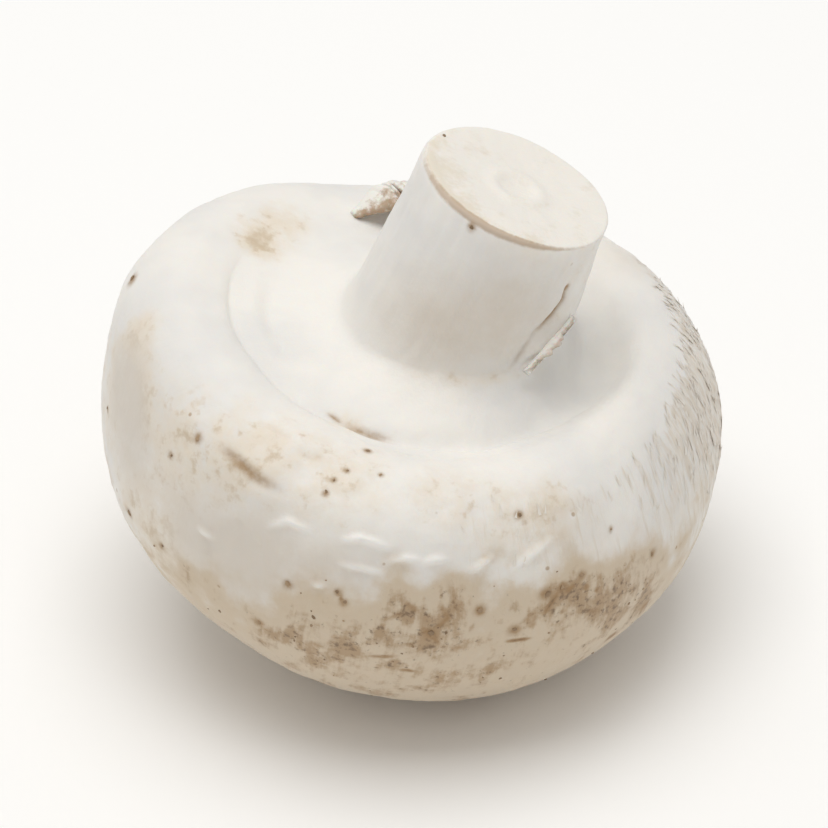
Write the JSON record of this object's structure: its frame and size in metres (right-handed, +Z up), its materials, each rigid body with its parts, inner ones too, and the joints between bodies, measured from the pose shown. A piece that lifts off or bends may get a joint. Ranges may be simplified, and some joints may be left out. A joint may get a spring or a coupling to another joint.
{
  "type": "button mushroom",
  "caption": "Closed-cap white button mushroom, as picked, lying on the crown of its cap with its cut stem leaning up.",
  "frame": {"origin": "the middle of the mushroom's outline in plan, on the plane that its crown rests on", "axes": "+Z up from the rest plane; +X towards the side that the cut stem leans over; -Y towards the side that the cap tips down to"},
  "size_m": [0.0494, 0.0486, 0.0434],
  "materials": {
    "white_flesh": "matte"
  },
  "bodies": {
    "root": {"mushroom": "white_flesh"}
  },
  "joints": []
}
